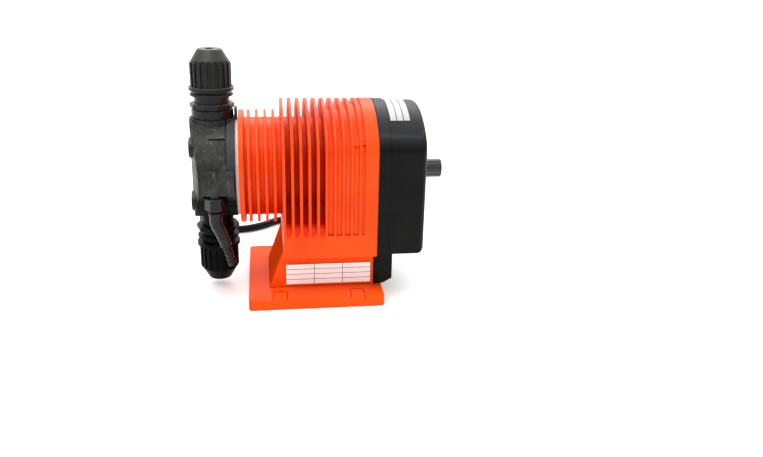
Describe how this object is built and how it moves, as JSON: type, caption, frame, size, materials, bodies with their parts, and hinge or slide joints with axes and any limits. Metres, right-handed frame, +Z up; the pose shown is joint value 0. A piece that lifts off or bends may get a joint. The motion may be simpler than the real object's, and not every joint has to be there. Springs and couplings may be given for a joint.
{
  "type": "dosing pump",
  "caption": "Solenoid diaphragm dosing pump: finned housing on a foot plate, dark pump head with tube nuts above and below, rear cover with a rate knob, and a mains cord.",
  "frame": {"origin": "centre of the four foot holes, on the underside of the foot plate", "axes": "+X along the pump axis from the head towards the rate knob, +Z up, +Y towards the cable gland"},
  "size_m": [0.2306, 0.2835, 0.1829],
  "materials": {
    "orange_plastic": "moulded orange plastic, semi-gloss",
    "black_cover_plastic": "black moulded plastic, satin",
    "head_plastic": "dark grey machined or moulded plastic, matte grain",
    "valve_plastic": "black glass-filled plastic, matte",
    "knob_plastic": "black plastic, matte",
    "label_film": "white label film, blank",
    "scale_film": "printed scale film",
    "lamp_lens": "translucent green lens",
    "diaphragm_rubber": "fluoropolymer-faced rubber, white",
    "seal_rubber": "black seal rubber",
    "steel": "plain turned steel",
    "screw_steel": "stainless screws",
    "bush_plastic": "white bearing plastic",
    "winding_copper": "enamelled copper wire",
    "bobbin_plastic": "black bobbin plastic",
    "spring_steel": "spring wire",
    "ball_glass": "glass valve balls",
    "seat_plastic": "valve seat plastic",
    "board_laminate": "circuit board",
    "component_plastic": "electronic component bodies",
    "terminal_plastic": "terminal block",
    "cord_pvc": "flexible cable sheath, black",
    "blade_brass": "plug blades"
  },
  "bodies": {
    "pump": {"base_screws": "screw_steel", "bleed_valve_body": "valve_plastic", "board_standoffs": "bush_plastic", "bolt_caps": "valve_plastic", "cable_entry_box": "black_cover_plastic", "cable_gland": "black_cover_plastic", "circuit_board": "board_laminate", "coil_bobbin": "bobbin_plastic", "copper_winding": "winding_copper", "cord_tail": "cord_pvc", "cord_tie": "bobbin_plastic", "cover_gasket": "seal_rubber", "cover_screws": "screw_steel", "crown_label": "label_film", "diaphragm": "diaphragm_rubber", "discharge_seat": "seat_plastic", "discharge_valve_body": "valve_plastic", "end_plate": "steel", "foot_base": "orange_plastic", "guide_bushes": "bush_plastic", "head_bolts": "screw_steel", "magnet_yoke": "steel", "main_housing": "orange_plastic", "mains_cord": "cord_pvc", "mains_cord_coil": "cord_pvc", "mains_plug": "cord_pvc", "plug_blades": "blade_brass", "pole_piece": "steel", "potentiometer": "component_plastic", "power_module": "component_plastic", "pump_head": "head_plastic", "rate_scale": "scale_film", "rating_plate": "label_film", "rear_cover": "black_cover_plastic", "return_spring": "spring_steel", "status_lamp": "lamp_lens", "strain_relief": "cord_pvc", "suction_ball_cage": "seat_plastic", "suction_seat": "seat_plastic", "suction_valve_body": "valve_plastic", "terminal_block": "terminal_plastic", "valve_o_rings": "seal_rubber"},
    "plunger": {"armature": "steel", "armature_shaft": "steel"},
    "rate_control": {"rate_knob": "knob_plastic", "potentiometer_shaft": "steel"},
    "discharge_grip_ring": {"discharge_grip": "seat_plastic"},
    "discharge_union_nut": {"discharge_nut": "valve_plastic"},
    "suction_grip_ring": {"suction_grip": "seat_plastic"},
    "suction_union_nut": {"suction_nut": "valve_plastic"},
    "discharge_check_ball": {"discharge_ball": "ball_glass"},
    "suction_check_ball": {"suction_ball": "ball_glass"},
    "bleed_outlet": {"bleed_elbow": "valve_plastic"}
  },
  "joints": [
    {"name": "armature_stroke", "type": "slide", "parent": "pump", "child": "plunger", "axis": [-1, 0, 0], "range_m": [0, 0.00125], "stiffness_N_per_m": 2000, "springref_m": -0.002, "deforming": ["return_spring", "diaphragm"]},
    {"name": "rate_knob_turn", "type": "hinge", "parent": "pump", "child": "rate_control", "pos_m": [0.0787, 0, 0.0917], "axis": [1, 0, 0], "range_deg": [-150, 150]},
    {"name": "discharge_grip_lift", "type": "slide", "parent": "pump", "child": "discharge_grip_ring", "axis": [0, 0, 1], "range_m": [0, 0.0046]},
    {"name": "discharge_nut_turn", "type": "hinge", "parent": "discharge_grip_ring", "child": "discharge_union_nut", "pos_m": [-0.0748, 0, 0.17], "axis": [0, 0, 1], "range_deg": [0, 540]},
    {"name": "suction_grip_drop", "type": "slide", "parent": "pump", "child": "suction_grip_ring", "axis": [0, 0, -1], "range_m": [0, 0.0046]},
    {"name": "suction_nut_turn", "type": "hinge", "parent": "suction_grip_ring", "child": "suction_union_nut", "pos_m": [-0.0748, 0, 0.022], "axis": [0, 0, -1], "range_deg": [0, 540]},
    {"name": "discharge_ball_lift", "type": "slide", "parent": "pump", "child": "discharge_check_ball", "axis": [0, 0, 1], "range_m": [0, 0.0015]},
    {"name": "suction_ball_lift", "type": "slide", "parent": "pump", "child": "suction_check_ball", "axis": [0, 0, 1], "range_m": [0, 0.001]},
    {"name": "bleed_elbow_swivel", "type": "hinge", "parent": "pump", "child": "bleed_outlet", "pos_m": [-0.0739, -0.0356, 0.068], "axis": [0, 0, 1], "range_deg": [-60, 60]}
  ],
  "couplings": [
    {"joint": "discharge_grip_lift", "follows": "discharge_nut_turn", "m_per_rad": 0.00047746},
    {"joint": "suction_grip_drop", "follows": "suction_nut_turn", "m_per_rad": 0.00047746}
  ]
}
